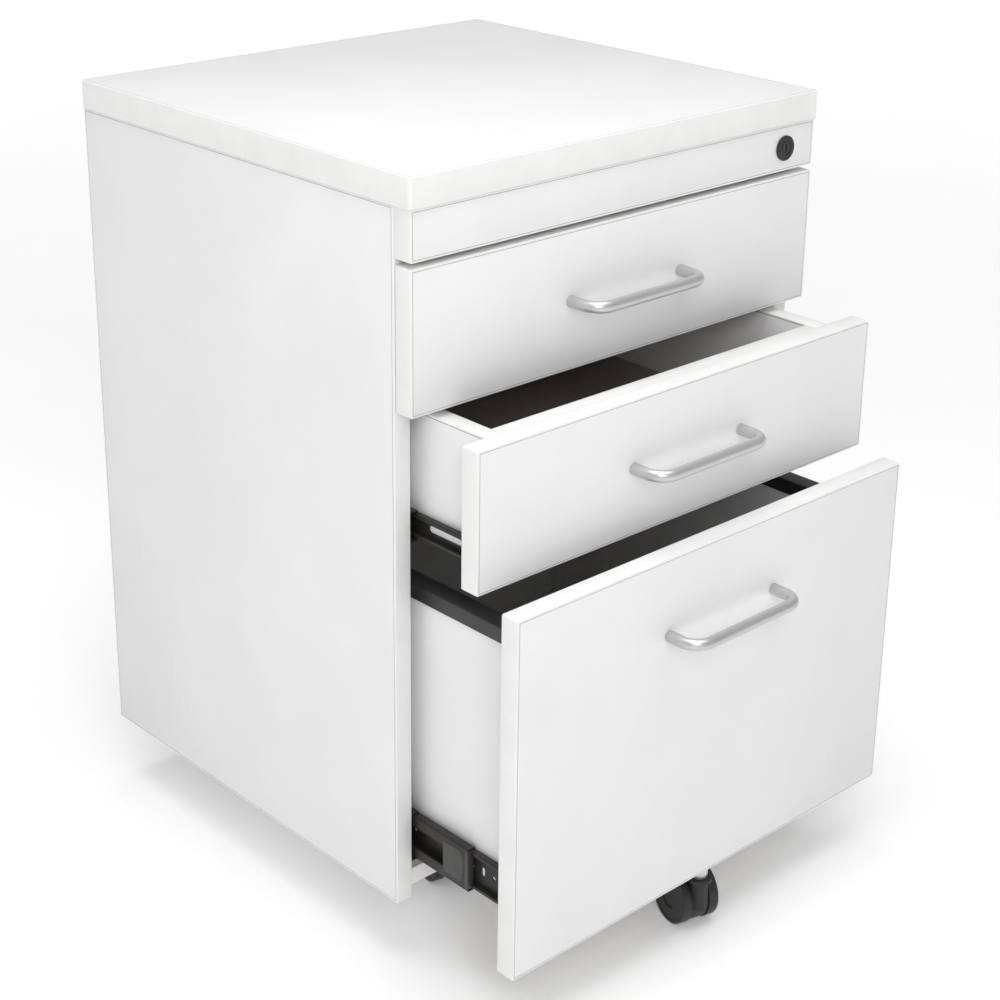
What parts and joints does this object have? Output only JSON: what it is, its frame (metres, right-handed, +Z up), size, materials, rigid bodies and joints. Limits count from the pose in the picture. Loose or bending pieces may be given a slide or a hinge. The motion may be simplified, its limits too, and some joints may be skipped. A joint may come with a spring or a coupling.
{
  "type": "rolling pedestal cabinet",
  "caption": "White under-desk rolling pedestal with shallow drawers over a deep hanging-file drawer, bar handles, central lock and twin-wheel castors.",
  "frame": {"origin": "on the floor, below the centre of the lid", "axes": "+Z up, the drawer fronts face -Y and open along -Y, +X to the right as seen from the front"},
  "size_m": [0.465, 0.594, 0.69],
  "materials": {
    "board": "white melamine, satin",
    "box_bottom": "dark lacquered hardboard",
    "runner_steel": "black e-coat",
    "ball_steel": "bright",
    "rail_black": "satin black",
    "satin_handle": "satin silver",
    "zinc": "zinc plated",
    "lock_metal": "black nickel",
    "aluminium_bar": "mill",
    "black_plastic": "fine grain black",
    "wheel_plastic": "satin black"
  },
  "bodies": {
    "root": {"lid_panel": "board", "side_panel_left": "board", "side_panel_right": "board", "back_panel": "board", "base_panel": "board", "lock_rail": "board", "cam_fittings": "zinc", "runner_screws": "zinc", "castor_screws": "zinc", "castor_plates": "zinc", "lock_housing": "lock_metal", "drawer_1_cabinet_runners": "runner_steel", "drawer_2_cabinet_runners": "runner_steel", "file_drawer_cabinet_runners": "runner_steel"},
    "lock_plug": {"lock_plug": "lock_metal"},
    "lock_bar": {"lock_bar": "aluminium_bar"},
    "drawer_1": {"drawer_1_front": "board", "drawer_1_inner_front": "board", "drawer_1_sides": "board", "drawer_1_back": "board", "drawer_1_bottom": "box_bottom", "drawer_1_handle": "satin_handle", "drawer_1_handle_screws": "zinc", "drawer_1_runners": "runner_steel", "drawer_1_lock_catch": "black_plastic"},
    "drawer_2": {"drawer_2_front": "board", "drawer_2_inner_front": "board", "drawer_2_sides": "board", "drawer_2_back": "board", "drawer_2_bottom": "box_bottom", "drawer_2_handle": "satin_handle", "drawer_2_handle_screws": "zinc", "drawer_2_runners": "runner_steel", "drawer_2_lock_catch": "black_plastic"},
    "file_drawer": {"file_drawer_front": "board", "file_drawer_inner_front": "board", "file_drawer_sides": "board", "file_drawer_back": "board", "file_drawer_bottom": "box_bottom", "file_drawer_handle": "satin_handle", "file_drawer_handle_screws": "zinc", "file_drawer_runners": "runner_steel", "file_drawer_lock_catch": "black_plastic", "hanging_rails": "rail_black", "file_castor_stem": "zinc"},
    "drawer_1_cages": {"drawer_1_ball_cages": "ball_steel"},
    "drawer_2_cages": {"drawer_2_ball_cages": "ball_steel"},
    "file_middle_runners": {"file_drawer_middle_runners": "runner_steel"},
    "file_outer_cages": {"file_drawer_outer_cages": "ball_steel"},
    "file_inner_cages": {"file_drawer_inner_cages": "ball_steel"},
    "front_left_castor": {"front_left_castor_body": "black_plastic"},
    "front_left_castor_wheels": {"front_left_castor_wheels": "wheel_plastic"},
    "front_right_castor": {"front_right_castor_body": "black_plastic"},
    "front_right_castor_wheels": {"front_right_castor_wheels": "wheel_plastic"},
    "back_left_castor": {"back_left_castor_body": "black_plastic"},
    "back_left_castor_wheels": {"back_left_castor_wheels": "wheel_plastic"},
    "back_right_castor": {"back_right_castor_body": "black_plastic"},
    "back_right_castor_wheels": {"back_right_castor_wheels": "wheel_plastic"},
    "file_castor": {"file_castor_body": "black_plastic"},
    "file_castor_wheels": {"file_castor_wheels": "wheel_plastic"}
  },
  "joints": [
    {"name": "drawer_1_slide", "type": "slide", "parent": "root", "child": "drawer_1", "axis": [0, -1, 0], "range_m": [0, 0.29]},
    {"name": "drawer_2_slide", "type": "slide", "parent": "root", "child": "drawer_2", "axis": [0, -1, 0], "range_m": [-0.075, 0.215]},
    {"name": "file_drawer_slide", "type": "slide", "parent": "root", "child": "file_drawer", "axis": [0, -1, 0], "range_m": [-0.12, 0.26]},
    {"name": "drawer_1_cages_slide", "type": "slide", "parent": "root", "child": "drawer_1_cages", "axis": [0, -1, 0], "range_m": [-0.0002, 0.1452]},
    {"name": "drawer_2_cages_slide", "type": "slide", "parent": "root", "child": "drawer_2_cages", "axis": [0, -1, 0], "range_m": [-0.0377, 0.1077]},
    {"name": "file_middle_runners_slide", "type": "slide", "parent": "root", "child": "file_middle_runners", "axis": [0, -1, 0], "range_m": [-0.0674, 0.1458]},
    {"name": "file_outer_cages_slide", "type": "slide", "parent": "root", "child": "file_outer_cages", "axis": [0, -1, 0], "range_m": [-0.0338, 0.073]},
    {"name": "file_inner_cages_slide", "type": "slide", "parent": "root", "child": "file_inner_cages", "axis": [0, -1, 0], "range_m": [-0.0938, 0.203]},
    {"name": "lock_turn", "type": "hinge", "parent": "root", "child": "lock_plug", "pos_m": [0.1924, -0.2185, 0.6445], "axis": [0, 1, 0], "range_deg": [-0.5, 90.5]},
    {"name": "lock_bar_slide", "type": "slide", "parent": "root", "child": "lock_bar", "axis": [0, 0, -1], "range_m": [0, 0.01414]},
    {"name": "front_left_castor_swivel", "type": "hinge", "parent": "root", "child": "front_left_castor", "pos_m": [-0.116, -0.139, 0.052], "axis": [0, 0, 1], "continuous": true},
    {"name": "front_left_castor_roll", "type": "hinge", "parent": "front_left_castor", "child": "front_left_castor_wheels", "pos_m": [-0.1115, -0.11951, 0.025], "axis": [0.9744, -0.225, 0], "continuous": true},
    {"name": "front_right_castor_swivel", "type": "hinge", "parent": "root", "child": "front_right_castor", "pos_m": [0.116, -0.139, 0.052], "axis": [0, 0, 1], "continuous": true},
    {"name": "front_right_castor_roll", "type": "hinge", "parent": "front_right_castor", "child": "front_right_castor_wheels", "pos_m": [0.12831, -0.12324, 0.025], "axis": [0.788, -0.6157, 0], "continuous": true},
    {"name": "back_left_castor_swivel", "type": "hinge", "parent": "root", "child": "back_left_castor", "pos_m": [-0.116, 0.139, 0.052], "axis": [0, 0, 1], "continuous": true},
    {"name": "back_left_castor_roll", "type": "hinge", "parent": "back_left_castor", "child": "back_left_castor_wheels", "pos_m": [-0.12413, 0.15727, 0.025], "axis": [0.9135, 0.4067, 0], "continuous": true},
    {"name": "back_right_castor_swivel", "type": "hinge", "parent": "root", "child": "back_right_castor", "pos_m": [0.116, 0.139, 0.052], "axis": [0, 0, 1], "continuous": true},
    {"name": "back_right_castor_roll", "type": "hinge", "parent": "back_right_castor", "child": "back_right_castor_wheels", "pos_m": [0.11287, 0.15875, 0.025], "axis": [0.9877, 0.1564, 0], "continuous": true},
    {"name": "file_castor_swivel", "type": "hinge", "parent": "file_drawer", "child": "file_castor", "pos_m": [0, -0.3295, 0.052], "axis": [0, 0, 1], "continuous": true},
    {"name": "file_castor_roll", "type": "hinge", "parent": "file_castor", "child": "file_castor_wheels", "pos_m": [0.00518, -0.31018, 0.025], "axis": [0.9659, -0.2588, 0], "continuous": true}
  ],
  "couplings": [
    {"joint": "drawer_1_cages_slide", "follows": "drawer_1_slide", "ratio": 0.5},
    {"joint": "drawer_2_cages_slide", "follows": "drawer_2_slide", "ratio": 0.5},
    {"joint": "file_middle_runners_slide", "follows": "file_drawer_slide", "ratio": 0.56},
    {"joint": "file_outer_cages_slide", "follows": "file_drawer_slide", "ratio": 0.28},
    {"joint": "file_inner_cages_slide", "follows": "file_drawer_slide", "ratio": 0.78},
    {"joint": "lock_turn", "follows": "lock_bar_slide", "rad_per_m": 111.07}
  ]
}
